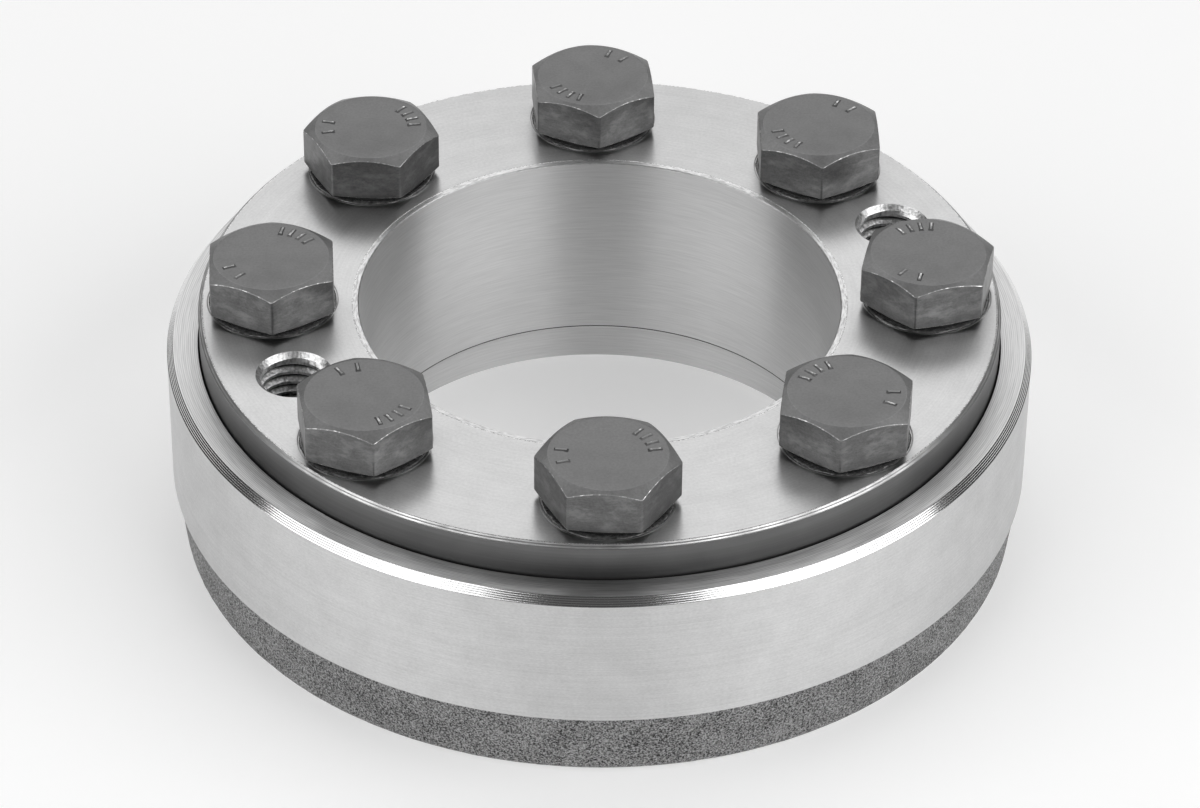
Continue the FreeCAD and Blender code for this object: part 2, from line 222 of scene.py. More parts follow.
class Finish:
    """A surface finish: one material, with short ways to add nodes to its tree.

    An anisotropic one spreads its glints across lines that run round the axis.
    """

    def __init__(self, name, metallic=1.0, anisotropic=0.0):
        self.material = bpy.data.materials.new(name)
        self.material.use_nodes = True
        self.tree = self.material.node_tree
        self.shader = self.tree.nodes["Principled BSDF"]
        self.put("Metallic", metallic)
        if anisotropic:
            self.put("Anisotropic", anisotropic)
            self.put("Anisotropic Rotation", 0.25)
            self.put("Tangent", self.add("Tangent", direction_type="RADIAL", axis="Z").outputs[0])
        self.coordinates = None

    def put(self, socket, value):
        """Sets a socket of the shader to a number, or links it."""
        self.connect(self.shader.inputs[socket], value)

    def connect(self, socket, value):
        if isinstance(value, bpy.types.NodeSocket):
            self.tree.links.new(value, socket)
        elif socket.type == "RGBA":
            socket.default_value = (value, value, value, 1.0)
        else:
            socket.default_value = value

    def add(self, kind, inputs=None, **properties):
        node = self.tree.nodes.new(f"ShaderNode{kind}")
        for key, value in properties.items():
            setattr(node, key, value)
        for key, value in (inputs or {}).items():
            self.connect(node.inputs[key], value)
        return node

    def math(self, operation, *values):
        inputs = dict(enumerate(values))
        return self.add("Math", inputs, operation=operation).outputs[0]

    def vector(self, operation, *values):
        inputs = dict(enumerate(values))
        return self.add("VectorMath", inputs, operation=operation).outputs[0]

    def span(self, value, low, high, to_low=0.0, to_high=1.0):
        """Maps a stretch of values to another, and holds it at the ends."""
        inputs = {"Value": value, "From Min": low, "From Max": high,
                  "To Min": to_low, "To Max": to_high}
        return self.add("MapRange", inputs).outputs["Result"]

    def vary(self, pattern, low, high):
        """Takes a noise to a stretch of values."""
        return self.span(pattern, *NOISE_RANGE, low, high)

    def blend(self, share, low, high):
        """From low to high as share goes from 0 to 1."""
        inputs = {"Factor": share, "A": low, "B": high}
        return self.add("Mix", inputs).outputs["Result"]

    def place(self):
        """The piece's own coordinates in millimetres, as a vector and its x, y and z."""
        if self.coordinates is None:
            own = self.add("TexCoord").outputs["Object"]
            scaled = self.add("VectorMath", {0: own, "Scale": 1 / MM}, operation="SCALE")
            split = self.add("SeparateXYZ", {0: scaled.outputs[0]})
            self.coordinates = (scaled.outputs[0], *split.outputs)
        return self.coordinates

    def radius(self):
        """Distance from the axis in millimetres."""
        _, x, y, _ = self.place()
        flat = self.add("CombineXYZ", {0: x, 1: y}).outputs[0]
        return self.add("VectorMath", {0: flat}, operation="LENGTH").outputs["Value"]

    def grain(self, size, detail=2.0, roughness=0.5, squeeze=(1, 1, 1)):
        """Speckle of a size in millimetres, from 0 to 1, finer along the squeezed axes."""
        inputs = {"Vector": self.vector("MULTIPLY", self.place()[0], squeeze),
                  "Scale": 1 / size, "Detail": detail, "Roughness": roughness}
        return self.add("TexNoise", inputs).outputs["Fac"]

    def turning(self, pitch, turns=2.0, detail=2.0):
        """Fine lines that run round the axis, about a pitch apart, from 0 to 1.

        turns says how much a line changes on its way round.
        """
        _, x, y, z = self.place()
        radius = self.radius()
        flat = self.add("CombineXYZ", {0: x, 1: y}).outputs[0]
        direction = self.vector("NORMALIZE", flat)
        split = self.add("SeparateXYZ", {0: direction})
        vector = self.add("CombineXYZ", {
            0: self.math("DIVIDE", radius, pitch),
            1: self.math("DIVIDE", z, pitch),
            2: self.math("MULTIPLY", split.outputs[0], turns),
        }).outputs[0]
        inputs = {"Vector": vector, "W": self.math("MULTIPLY", split.outputs[1], turns),
                  "Scale": 1.0, "Detail": detail}
        return self.add("TexNoise", inputs, noise_dimensions="4D").outputs["Fac"]

    def mottle(self, low, high):
        """Fine speckle with larger patches in it, as a factor between low and high."""
        speckle = self.grain(0.3, squeeze=(1, 1, 2))
        patches = self.grain(3.0, detail=3.0)
        return self.vary(self.blend(0.4, speckle, patches), low, high)

    def raise_by(self, height, depth):
        """Raises the surface by a pattern from 0 to 1, to a depth in millimetres."""
        inputs = {"Height": height, "Strength": 1.0, "Distance": depth * MM}
        self.put("Normal", self.add("Bump", inputs).outputs["Normal"])


def turned_face():
    """Faced steel of the flange's top: bright, satin, with rings almost too fine to see."""
    finish = Finish("turned_face", anisotropic=0.5)
    lines = finish.turning(0.14, turns=4.0)
    bands = finish.turning(1.4, turns=1.0)
    steel = finish.vary(lines, 0.62, 0.67)
    finish.put("Base Color", finish.math("MULTIPLY", steel, finish.mottle(0.92, 1.08)))
    finish.put("Roughness", finish.vary(bands, 0.28, 0.32))
    finish.raise_by(lines, 0.0006)
    return finish.material


def turned_lip():
    """Faced steel of the lip, cut more coarsely, so that its rings catch light from the sides."""
    finish = Finish("turned_lip", anisotropic=0.9)
    lines = finish.turning(0.12, turns=12.0)
    wave = finish.math("SINE", finish.math("MULTIPLY", finish.radius(), 2 * math.pi / FEED))
    rings = finish.math("MULTIPLY_ADD", wave, 0.16, lines)
    finish.put("Base Color", finish.span(rings, 0.2, 0.8, 0.51, 0.85))
    finish.put("Roughness", finish.vary(lines, 0.30, 0.38))
    finish.raise_by(rings, 0.003)
    return finish.material


def turned_band():
    """Steel of the outer band, turned to a light satin, faintly streaked and mottled."""
    finish = Finish("turned_band", anisotropic=0.8)
    lines = finish.turning(0.14)
    clouds = finish.grain(9.0)
    steel = finish.vary(lines, 0.60, 0.66)
    finish.put("Base Color", finish.math("MULTIPLY", steel, finish.mottle(0.9, 1.1)))
    finish.put("Roughness", finish.vary(clouds, 0.36, 0.40))
    finish.raise_by(lines, 0.0006)
    return finish.material


def turned_bore():
    """Bore and cone: drawn-out streaks of a boring tool, slightly glossier in places."""
    finish = Finish("turned_bore", anisotropic=0.95)
    lines = finish.turning(0.13, turns=7.0, detail=3.0)
    bands = finish.turning(1.6, turns=2.0)
    finish.put("Base Color", finish.vary(lines, 0.645, 0.735))
    finish.put("Roughness", finish.vary(bands, 0.40, 0.42))
    finish.raise_by(lines, 0.0008)
    return finish.material


def dull_wall():
    """Side of the flange and the recess: left darker, with painted shade that darkens it below
    the lip's top, in the gap and in the recess.
    """
    finish = Finish("dull_wall", metallic=0.85)
    lines = finish.turning(0.30, turns=1.5)
    clouds = finish.grain(5.0)
    tone = finish.blend(0.5, lines, clouds)
    above = finish.span(finish.place()[3], RING_HEIGHT, FLANGE_TOP)
    # Painted shade: the tone falls to 0.4 below the lip's top, where the gap and the recess lie
    # in shade
    painted_shade_factor = finish.blend(above, 0.4, 1.0)
    finish.put("Base Color", finish.math("MULTIPLY", finish.vary(tone, 0.14, 0.19), painted_shade_factor))
    finish.put("Roughness", 0.42)
    finish.raise_by(lines, 0.001)
    return finish.material


def bright_edge():
    """Narrow chamfers of the flange: smooth cuts, duller in stretches."""
    finish = Finish("bright_edge")
    patches = finish.grain(3.0, detail=3.0)
    finish.put("Base Color", finish.span(patches, 0.35, 0.65, 0.35, 0.55))
    finish.put("Roughness", finish.span(patches, 0.35, 0.65, 0.4, 0.28))
    finish.raise_by(patches, 0.01)
    return finish.material


def torn_burr():
    """Ragged burr along the flange's edges, bright where raised and dark where torn."""
    finish = Finish("torn_burr")
    torn = finish.grain(0.22, detail=2.0)
    finish.put("Base Color", finish.span(torn, 0.38, 0.55, 0.4, 0.95))
    finish.put("Roughness", finish.span(torn, 0.3, 0.6, 0.5, 0.25))
    finish.raise_by(torn, 0.03)
    return finish.material


def scraped_mouth():
    """Narrow ring scraped round the bore's mouth: bright, with drawn-out torn flecks."""
    finish = Finish("scraped_mouth")
    torn = finish.turning(0.14, turns=35.0)
    finish.put("Base Color", finish.span(torn, 0.38, 0.6, 0.56, 0.82))
    finish.put("Roughness", finish.span(torn, 0.3, 0.6, 0.4, 0.28))
    finish.raise_by(torn, 0.008)
    return finish.material


def lip_chamfer():
    """Outer chamfer of the lip: almost a mirror, with a painted highlight line where scallops
    meet.
    """
    finish = Finish("lip_chamfer")
    pitch = LIP_CHAMFER[1] / LIP_SCALLOPS[0]
    drop = finish.math("SUBTRACT", RING_HEIGHT, finish.place()[3])
    # Painted highlight: the base colour rises from 0.4 to 1.0 at each line where two scallops
    # meet
    lines = finish.math("COSINE", finish.math("MULTIPLY", drop, 2 * math.pi / pitch))
    finish.put("Base Color", finish.span(lines, -1.0, 1.0, 0.4, 1.0))
    finish.put("Roughness", 0.14)
    return finish.material


def forged_skin():
    """Forged skin on the ring's back edge: dull grey scale, granular to the eye."""
    finish = Finish("forged_skin", metallic=0.6)
    pits = finish.grain(0.19, detail=3.0, roughness=0.6)
    clouds = finish.grain(3.0)
    tone = finish.math("ADD", pits, finish.math("MULTIPLY", clouds, 0.12))
    finish.put("Base Color", finish.span(tone, 0.44, 0.69, 0.02, 0.40))
    finish.put("Roughness", finish.vary(pits, 0.65, 0.4))
    finish.raise_by(pits, 0.10)
    return finish.material


def cut_thread():
    """Threads that a tap left bright, torn a little, with painted shade in their valleys.

    The valleys are told by their distance from the nearest hole's axis.
    """
    finish = Finish("cut_thread")
    torn = finish.grain(0.3, detail=3.0, squeeze=(1, 1, 0.35))
    place = finish.place()[0]
    nearest = None
    for axis in jacking_places + bolt_places:
        offset = finish.vector("SUBTRACT", place, axis)
        flat = finish.vector("MULTIPLY", offset, (1, 1, 0))
        distance = finish.add("VectorMath", {0: flat}, operation="LENGTH").outputs["Value"]
        nearest = finish.math("MINIMUM", nearest, distance) if nearest else distance
    valley = finish.span(nearest, THREAD_RADIUS - 0.45 * THREAD_DEPTH, THREAD_RADIUS, 0.0, 1.0)
    thread_start, fade = FLANGE_TOP - MOUTH_CHAMFER, 0.05
    lead_in = finish.span(finish.place()[3], thread_start - fade, thread_start)
    # Painted shade: this mask darkens the thread valleys below the lead-in to a base of 0.06,
    # standing for their shade
    oil = finish.math("MULTIPLY", valley, finish.math("SUBTRACT", 1.0, lead_in))
    steel = finish.span(torn, 0.35, 0.6, 0.6, 1.0)
    steel = finish.math("MULTIPLY", steel, finish.blend(lead_in, 1.0, 0.75))
    finish.put("Base Color", finish.blend(oil, steel, 0.06))
    finish.put("Roughness", finish.vary(torn, 0.28, 0.4))
    finish.raise_by(torn, 0.045)
    return finish.material


def drilled_hole():
    """Clearance holes for the bolts: plain, with a drill's marks."""
    finish = Finish("drilled_hole")
    marks = finish.grain(0.5, detail=2.0, squeeze=(0.3, 0.3, 1))
    finish.put("Base Color", finish.vary(marks, 0.42, 0.56))
    finish.put("Roughness", 0.4)
    finish.raise_by(marks, 0.004)
    return finish.material


def oxide(name, low, high, rough=0.44):
    """Black oxide, faintly speckled, between two tones."""
    finish = Finish(name, metallic=0.5)
    speckle = finish.grain(0.25, detail=3.0)
    clouds = finish.grain(2.5)
    tone = finish.math("ADD", speckle, clouds)
    finish.put("Base Color", finish.span(tone, 0.7, 1.3, low, high))
    finish.put("Roughness", finish.vary(clouds, rough, rough + 0.08))
    finish.raise_by(speckle, 0.012)
    return finish.material


def black_top():
    """Black oxide on the heads' tops."""
    return oxide("black_top", 0.18, 0.23)


def black_rim():
    """Black oxide on the chamfer round the heads' tops, rubbed a little glossier."""
    return oxide("black_rim", 0.19, 0.26, rough=0.36)


def black_flat():
    """Black oxide on the hexagon's flats: streaked, rubbed in patches, and darker at their foot
    with painted shade.
    """
    finish = Finish("black_flat", metallic=0.6)
    patches = finish.grain(1.5, detail=3.0)
    speckle = finish.grain(0.22, detail=3.0, roughness=0.6)
    along = finish.grain(0.8, detail=3.0, squeeze=(1, 1, 5))
    tone = finish.blend(0.4, finish.blend(0.5, patches, along), speckle)
    oxide_tone = finish.span(tone, 0.38, 0.62, 0.09, 0.14)
    rubbed = finish.grain(2.4, detail=6.0, roughness=0.7, squeeze=(1, 1, 2))
    metal = finish.blend(finish.span(rubbed, 0.48, 0.66), oxide_tone, 0.19)
    # Painted shade: the flats' colour is scaled to 0.6 at their foot and back to full 1.6 mm
    # higher
    foot, painted_shade_reach = FLANGE_TOP + BEARING_FACE_HEIGHT, 1.6
    painted_shade_factor = finish.span(finish.place()[3], foot, foot + painted_shade_reach, 0.6, 1.0)
    finish.put("Base Color", finish.math("MULTIPLY", metal, painted_shade_factor))
    finish.put("Roughness", finish.vary(patches, 0.40, 0.32))
    finish.raise_by(speckle, 0.006)
    return finish.material


def worn_edge():
    """Edges of the heads, rubbed bright here and there through the oxide."""
    finish = Finish("worn_edge")
    rubbed = finish.grain(0.5, detail=4.0, roughness=0.65)
    share = finish.span(rubbed, 0.5, 0.66)
    finish.put("Base Color", finish.blend(share, 0.3, 0.85))
    finish.put("Roughness", finish.blend(share, 0.5, 0.3))
    finish.raise_by(rubbed, 0.02)
    return finish.material


def black_thread():
    """Black oxide on the screws' threads, glossier with oil."""
    finish = Finish("black_thread", metallic=0.6)
    speckle = finish.grain(0.4)
    finish.put("Base Color", finish.vary(speckle, 0.05, 0.1))
    finish.put("Roughness", 0.32)
    finish.raise_by(speckle, 0.01)
    return finish.material


def dark_oil():
    """Thick dark oil with fine metal in it, pressed out from under the heads."""
    finish = Finish("dark_oil", metallic=0.6)
    dirt = finish.grain(0.3)
    finish.put("Base Color", finish.vary(dirt, 0.05, 0.2))
    finish.put("Roughness", finish.vary(dirt, 0.12, 0.28))
    finish.raise_by(dirt, 0.03)
    return finish.material


def pale_floor():
    """White floor of the studio, faintly lit from below."""
    finish = Finish("pale_floor", metallic=0.0)
    finish.put("Base Color", 0.75)
    finish.put("Roughness", 0.6)
    finish.put("Emission Color", 1.0)
    finish.put("Emission Strength", 0.3)
    return finish.material


# Every steel piece carries these finishes in this order while it is made, so that a cut keeps
# its own finish. A finished piece keeps only those that it shows.
FINISHES = (turned_face, turned_lip, turned_band, turned_bore, dull_wall, bright_edge,
            torn_burr, scraped_mouth, lip_chamfer, forged_skin, cut_thread, drilled_hole,
            black_top, black_rim, black_flat, worn_edge, black_thread)
finishes = [make() for make in FINISHES]
finish_index = {make: index for index, make in enumerate(FINISHES)}


def new_piece(name, mesh):
    piece = bpy.data.objects.new(name, mesh)
    bpy.context.scene.collection.objects.link(piece)
    return piece


def solid(name, points, faces, indices):
    """A piece from points and faces, with doubles merged and faces pointing outwards."""
    mesh = bpy.data.meshes.new(name)
    mesh.from_pydata(points, [], faces)
    for material in finishes:
        mesh.materials.append(material)
    mesh.polygons.foreach_set("material_index", indices)
    piece = new_piece(name, mesh)
    tidy(piece)
    return piece


def tidy(piece, distance=MERGE_BELOW):
    """Merges doubles and turns every face outwards."""
    work = bmesh.new()
    work.from_mesh(piece.data)
    bmesh.ops.remove_doubles(work, verts=work.verts, dist=distance)
    bmesh.ops.dissolve_degenerate(work, edges=work.edges, dist=distance)
    bmesh.ops.recalc_face_normals(work, faces=work.faces)
    work.to_mesh(piece.data)
    work.free()


def settle(piece):
    """Turns what a piece's modifiers give into its plain mesh, and removes them."""
    graph = bpy.context.evaluated_depsgraph_get()
    mesh = bpy.data.meshes.new_from_object(piece.evaluated_get(graph))
    old = piece.data
    piece.modifiers.clear()
    piece.data = mesh
    bpy.data.meshes.remove(old)


def combine(piece, other, operation):
    """Cuts another piece out of this one, joins it on, or keeps what they share."""
    modifier = piece.modifiers.new("shape", "BOOLEAN")
    modifier.operation = operation
    modifier.solver = "EXACT"
    modifier.object = other
    settle(piece)
    bpy.data.objects.remove(other)


def gather(pieces):
    """Joins pieces that don't touch into the first of them."""
    first = pieces[0]
    work = bmesh.new()
    for piece in pieces:
        work.from_mesh(piece.data)
    work.to_mesh(first.data)
    work.free()
    for piece in pieces[1:]:
        bpy.data.objects.remove(piece)
    return first


def rounded(corners):
    """The outline through some corners, with each rounded by an arc.

    A corner is its radius from the axis, its height, its rounding and the finish of the run
    that follows it. A point of the outline is a place and the finish of its next run.
    """
    outline = []
    for index, (radius, height, rounding, finish) in enumerate(corners):
        here = Vector((radius, height))
        if not rounding:
            outline.append((here, finish))
            continue
        previous = corners[index - 1]
        following = corners[(index + 1) % len(corners)]
        back = (Vector(previous[:2]) - here).normalized()
        ahead = (Vector(following[:2]) - here).normalized()
        half = back.angle(ahead) / 2
        centre = here + (back + ahead).normalized() * rounding / math.sin(half)
        start = here + back * rounding / math.tan(half) - centre
        end = here + ahead * rounding / math.tan(half) - centre
        turn = start.angle_signed(end)
        if rounding < LARGE_ROUNDING:
            steps = max(1, round(abs(turn) / SHARP_STEP))
        else:
            steps = math.ceil(abs(turn) / FINE_STEP)
        for step in range(steps + 1):
            spoke = Matrix.Rotation(-turn * step / steps, 2) @ start
            outline.append((centre + spoke, previous[3] if 2 * step < steps else finish))
    return outline


def turned(name, outline, segments, centre=(0.0, 0.0), start=0.0):
    """Revolves a closed outline about an upright axis through a centre.

    start is where the first segment begins, as a share of a segment, so that the edges of two
    round shapes that cut each other don't meet.
    """
    points, faces, indices = [], [], []
    count = len(outline)
    for segment in range(segments):
        angle = 2 * math.pi * (segment + start) / segments
        for place, _ in outline:
            points.append((centre[0] + place.x * math.cos(angle),
                           centre[1] + place.x * math.sin(angle), place.y))
    for segment in range(segments):
        near, far = segment * count, (segment + 1) % segments * count
        for index, (place, finish) in enumerate(outline):
            after = (index + 1) % count
            if place.x == outline[after][0].x == 0.0:
                continue
            face = [near + index, near + after, far + after, far + index]
            faces.append(face)
            indices.append(finish_index[finish])
    return solid(name, points, faces, indices)


def crease(mesh):
    """Shades smoothly, apart from corners and from bends where one finish meets another."""
    work = bmesh.new()
    work.from_mesh(mesh)
    for face in work.faces:
        face.smooth = True
    for edge in work.edges:
        one_finish = len({face.material_index for face in edge.link_faces}) == 1
        limit = SMOOTH_BELOW if one_finish else SLIGHT_BEND
        edge.smooth = edge.is_manifold and edge.calc_face_angle() < limit
    work.to_mesh(mesh)
    work.free()


def finished(name, piece, body, node):
    """Scales a piece to metres, drops the finishes that it lacks and fixes it to the frame."""
    mesh = piece.data
    used = sorted({face.material_index for face in mesh.polygons})
    materials = [mesh.materials[index] for index in used]
    indices = [used.index(face.material_index) for face in mesh.polygons]
    mesh.materials.clear()
    for material in materials:
        mesh.materials.append(material)
    mesh.polygons.foreach_set("material_index", indices)
    mesh.transform(Matrix.Scale(MM, 4))
    crease(mesh)
    piece.name = name
    mesh.name = name
    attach(piece, body)
    if node:
        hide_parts(node)
    return piece


class Shape:
    """A Geometry Nodes tree, with short ways to add its nodes."""

    def __init__(self, name, inputs):
        self.tree = bpy.data.node_groups.new(name, "GeometryNodeTree")
        for label, kind in inputs:
            self.tree.interface.new_socket(label, in_out="INPUT", socket_type=f"NodeSocket{kind}")
        self.tree.interface.new_socket(
            "Geometry", in_out="OUTPUT", socket_type="NodeSocketGeometry")
        self.inputs = self.tree.nodes.new("NodeGroupInput").outputs
        self.result = self.tree.nodes.new("NodeGroupOutput").inputs[0]

    def add(self, kind, inputs=None, **properties):
        node = self.tree.nodes.new(kind)
        for key, value in properties.items():
            setattr(node, key, value)
        for key, value in (inputs or {}).items():
            if isinstance(value, bpy.types.NodeSocket):
                self.tree.links.new(value, node.inputs[key])
            else:
                node.inputs[key].default_value = value
        return node

    def math(self, operation, *values):
        return self.add("ShaderNodeMath", dict(enumerate(values)), operation=operation).outputs[0]

    def grid(self, across, along):
        """A flat grid of a size of 1 about the origin, and where its points lie on it."""
        mesh = self.add("GeometryNodeMeshGrid", {
            "Size X": 1.0, "Size Y": 1.0, "Vertices X": self.math("ADD", across, 1),
            "Vertices Y": self.math("ADD", along, 1)}).outputs["Mesh"]
        place = self.add("GeometryNodeInputPosition").outputs[0]
        return mesh, self.add("ShaderNodeSeparateXYZ", {0: place}).outputs

    def on_circle(self, angle, radius, height):
        """A place at an angle and a radius about the Z axis."""
        return self.add("ShaderNodeCombineXYZ", {
            0: self.math("MULTIPLY", radius, self.math("COSINE", angle)),
            1: self.math("MULTIPLY", radius, self.math("SINE", angle)), 2: height}).outputs[0]

    def finish(self, geometry, material):
        """Ends the tree: instances are made real and get their finish."""
        real = self.add("GeometryNodeRealizeInstances", {0: geometry}).outputs[0]
        painted = self.add("GeometryNodeSetMaterial", {0: real, "Material": material}).outputs[0]
        self.tree.links.new(painted, self.result)

    def grow(self, name, values):
        """A plain piece made by the tree, with its inputs set by name."""
        piece = new_piece(name, bpy.data.meshes.new(name))
        modifier = piece.modifiers.new("shape", "NODES")
        modifier.node_group = self.tree
        for item in self.tree.interface.items_tree:
            if item.in_out == "INPUT":
                modifier[item.identifier] = values[item.name]
        settle(piece)
        return piece


def thread_shape():
    """A closed rod with a right-hand screw thread, coned at both ends.

    Four rows of points to a pitch, at the two edges of the crest and of the root, climb by
    one pitch on their way round. Rows past an end fall together on its rim.
    """
    shape = Shape("screw thread", (
        ("Crest Radius", "Float"), ("Root Radius", "Float"), ("End Radius", "Float"),
        ("Low", "Float"), ("High", "Float"), ("Pitch", "Float"), ("Segments", "Int"),
        ("Finish", "Material")))
    given = shape.inputs
    run = shape.math("SUBTRACT", given["High"], given["Low"])
    turns = shape.math("ADD", shape.math("CEIL", shape.math("DIVIDE", run, given["Pitch"])), 3)
    rows = shape.math("MULTIPLY", turns, 4)
    grid, spot = shape.grid(given["Segments"], rows)
    share = shape.math("ADD", spot["X"], 0.5)
    climbed = shape.math("ADD", spot["Y"], 0.5)
    row = shape.math("ROUND", shape.math("MULTIPLY", climbed, rows))

    # Rows 0 and 3 of each pitch edge the crest, an eighth of a pitch wide, and rows 1 and 2
    # edge the root, a quarter of a pitch wide. A side is a row's place from the root's middle,
    # and a step is what turns it into a share of the pitch.
    side = shape.math("SUBTRACT", shape.math("FLOORED_MODULO", row, 4), 1.5)
    on_crest = shape.math("GREATER_THAN", shape.math("ABSOLUTE", side), 1)
    root_step, crest_step = 0.125 / 0.5, 0.4375 / 1.5
    step = shape.math("MULTIPLY_ADD", on_crest, crest_step - root_step, root_step)
    whole = shape.math("FLOOR", shape.math("DIVIDE", row, 4))
    phase = shape.math("ADD", whole, shape.math("MULTIPLY_ADD", side, step, 0.5))
    first = shape.math("FLOOR", shape.math("DIVIDE", given["Low"], given["Pitch"]))
    climb = shape.math("ADD", shape.math("SUBTRACT", first, 2), shape.math("ADD", phase, share))
    height = shape.math("MULTIPLY", climb, given["Pitch"])
    height = shape.math("MINIMUM", shape.math("MAXIMUM", height, given["Low"]), given["High"])

    depth = shape.math("SUBTRACT", given["Crest Radius"], given["Root Radius"])
    radius = shape.math("MULTIPLY_ADD", on_crest, depth, given["Root Radius"])
    for rise in (shape.math("SUBTRACT", height, given["Low"]),
                 shape.math("SUBTRACT", given["High"], height)):
        radius = shape.math("MINIMUM", radius, shape.math("ADD", given["End Radius"], rise))
    place = shape.on_circle(shape.math("MULTIPLY", share, 2 * math.pi), radius, height)
    wound = shape.add("GeometryNodeSetPosition", {0: grid, "Position": place}).outputs[0]

    parts = [wound]
    for level in (given["Low"], given["High"]):
        disc = shape.add("GeometryNodeMeshCircle", {
            "Vertices": given["Segments"], "Radius": given["End Radius"]}, fill_type="NGON")
        lift = shape.add("ShaderNodeCombineXYZ", {2: level}).outputs[0]
        parts.append(shape.add("GeometryNodeTransform", {
            0: disc.outputs[0], "Translation": lift}).outputs[0])
    join = shape.add("GeometryNodeJoinGeometry")
    for part in parts:
        shape.tree.links.new(part, join.inputs[0])
    merged = shape.add("GeometryNodeMergeByDistance", {
        0: join.outputs[0], "Distance": MERGE_IN_TREE})
    shape.finish(merged.outputs[0], given["Finish"])
    return shape


screw_thread = thread_shape()


def threaded_rod(crest, low, high, end, finish):
    """A threaded rod between two heights, with the finishes of the steel pieces."""
    index = finish_index[finish]
    rod = screw_thread.grow("rod", {
        "Crest Radius": crest, "Root Radius": crest - THREAD_DEPTH, "End Radius": end,
        "Low": low, "High": high, "Pitch": PITCH, "Segments": THREAD_SEGMENTS,
        "Finish": finishes[index]})
    rod.data.materials.clear()
    for material in finishes:
        rod.data.materials.append(material)
    rod.data.polygons.foreach_set("material_index", [index] * len(rod.data.polygons))
    tidy(rod)
    return rod


def countersink(level, upwards):
    """A cone that opens a thread's mouth at a level, from above or from below."""
    sign = 1 if upwards else -1
    foot = THREAD_RADIUS - THREAD_DEPTH - CUTTER_ROOM
    corners = ((0.0, level - sign * (MOUTH_RADIUS - foot), 0, cut_thread),
               (foot, level - sign * (MOUTH_RADIUS - foot), 0, cut_thread),
               (MOUTH_RADIUS + CUTTER_ROOM, level + sign * CUTTER_ROOM, 0, cut_thread),
               (0.0, level + sign * CUTTER_ROOM, 0, cut_thread))
    return turned("countersink", rounded(corners), HOLE_SEGMENTS, start=OFF_EDGE)


def tapped_hole(low, high):
    """A cutter for a tapped hole between two faces, with its lead-ins.

    The thread starts under the lead-in at its mouth, and runs out through the other face.
    """
    root = THREAD_RADIUS - THREAD_DEPTH
    cutter = threaded_rod(THREAD_RADIUS, low - CUTTER_ROOM / 2, high - MOUTH_CHAMFER, root,
                          cut_thread)
    combine(cutter, countersink(low, upwards=False), "UNION")
    combine(cutter, countersink(high, upwards=True), "UNION")
    return cutter


def spread(piece, places):
    """Copies of a piece at some places, as one piece."""
    copies = []
    for place in places:
        copy = new_piece(piece.name, piece.data.copy())
        copy.data.transform(Matrix.Translation((place.x, place.y, 0.0)))
        copies.append(copy)
    bpy.data.objects.remove(piece)
    return gather(copies)


def oil_shape():
    """A closed bead round the Z axis: straight on its inside, wandering on its outside."""
    shape = Shape("oil bead", (
        ("Inner Radius", "Float"), ("Width", "Float"), ("Height", "Float"), ("Sink", "Float"),
        ("Seed", "Float"), ("Around", "Int"), ("Across", "Int"), ("Finish", "Material")))
    given = shape.inputs
    grid, spot = shape.grid(given["Around"], given["Across"])
    around = shape.math("MULTIPLY", spot["X"], 2 * math.pi)
    across = shape.math("MULTIPLY", spot["Y"], 2 * math.pi)
    sideways, upwards = shape.math("COSINE", across), shape.math("SINE", across)

    def wander(size, speed, shift, low, rise):
        """A size that changes along the bead, and meets itself again."""
        vector = shape.on_circle(around, speed, shape.math("ADD", given["Seed"], shift))
        change = shape.add("ShaderNodeTexNoise", {"Vector": vector, "Scale": 1.0}).outputs[0]
        return shape.math("MULTIPLY", given[size], shape.math("MULTIPLY_ADD", change, rise, low))

    width = wander("Width", 4.0, 0.0, 0.7, 0.6)
    height = wander("Height", 5.0, 9.0, 0.4, 1.2)
    outwards = shape.math("MULTIPLY_ADD", sideways, 0.5, 0.5)
    radius = shape.math("MULTIPLY_ADD", width, outwards, given["Inner Radius"])
    level = shape.math("MAXIMUM", shape.math("MULTIPLY", height, upwards),
                       shape.math("MULTIPLY", given["Sink"], -1))
    place = shape.on_circle(around, radius, level)
    wound = shape.add("GeometryNodeSetPosition", {0: grid, "Position": place}).outputs[0]
    merged = shape.add("GeometryNodeMergeByDistance", {0: wound, "Distance": MERGE_IN_TREE})
    shape.finish(merged.outputs[0], given["Finish"])
    return shape


def pressed_oil():
    """Beads of oil round the bolts' bearing faces, lying on the flange."""
    shape, finish = oil_shape(), dark_oil()
    beads = []
    for number, place in enumerate(bolt_places):
        bead = shape.grow("bead", {
            "Inner Radius": BEARING_FACE_RADIUS + OIL_GAP, "Width": OIL_WIDTH,
            "Height": OIL_HEIGHT, "Sink": OIL_SINK, "Seed": 3.0 * number,
            "Around": OIL_SEGMENTS[0], "Across": OIL_SEGMENTS[1], "Finish": finish})
        bead.data.transform(Matrix.Translation((place.x, place.y, FLANGE_TOP)))
        tidy(bead)
        beads.append(bead)
    return finished("pressed_oil", gather(beads), "inner_ring", None)


def cone_radius(height):
    """Radius of the outer ring's conical bore at a height."""
    return CONE_BACK_RADIUS + height * math.tan(CONE_ANGLE)


def sleeve_radius(height):
    """Radius of the sleeve's cone at a height, with the flange standing proud."""
    return cone_radius(height - DRAW_TRAVEL) - CONE_CLEARANCE


